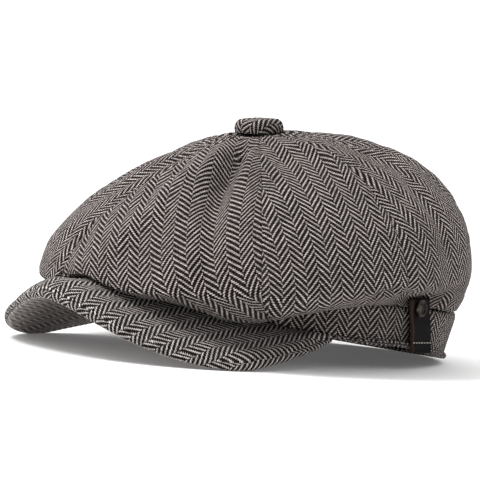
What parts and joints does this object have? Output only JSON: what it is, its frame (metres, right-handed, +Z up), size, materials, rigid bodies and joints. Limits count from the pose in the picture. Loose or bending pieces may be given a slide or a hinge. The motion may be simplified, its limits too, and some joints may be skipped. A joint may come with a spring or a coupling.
{
  "type": "newsboy cap",
  "caption": "Tweed newsboy cap with a gored crown, covered button, stiffened visor, head band and a snap-down leather tab.",
  "frame": {"origin": "on the surface the cap stands on, under the middle of its box", "axes": "+Z up, -Y the way the visor points, +X the wearer's left"},
  "size_m": [0.2286, 0.2842, 0.1333],
  "materials": {
    "tweed": "matte",
    "tweed_under": "matte",
    "lining": "satin",
    "sweatband": "matte",
    "elastic": "matte",
    "label": "matte",
    "board": "matte",
    "steel": "satin",
    "leather": "satin",
    "thread": "matte",
    "bronze": "satin"
  },
  "bodies": {
    "cap": {"crown_panel_1": "tweed", "crown_panel_2": "tweed", "crown_panel_3": "tweed", "crown_panel_4": "tweed", "crown_panel_5": "tweed", "crown_panel_6": "tweed", "crown_panel_7": "tweed", "crown_panel_8": "tweed", "lining_front_left": "lining", "lining_back_left": "lining", "lining_back_right": "lining", "lining_front_right": "lining", "band_left": "tweed", "band_back": "tweed", "band_right": "tweed", "hem_roll": "tweed", "sweatband": "sweatband", "back_elastic": "elastic", "size_label": "label", "visor_top_cover": "tweed", "visor_board": "board", "visor_under_cover": "tweed_under", "visor_edge_roll": "tweed", "button_cover": "tweed", "button_shell": "steel", "button_shank": "steel", "tab_anchor": "leather", "tab_stitching": "thread", "stud_post": "bronze"},
    "tab": {"leather_tab": "leather", "stud_cap": "bronze", "stud_socket": "bronze"}
  },
  "joints": [
    {"name": "tab_fold", "type": "hinge", "parent": "cap", "child": "tab", "pos_m": [0.08486, 0.05783, 0.01664], "axis": [-0.2018, 0.978, 0.0523], "range_deg": [0, 100]}
  ]
}
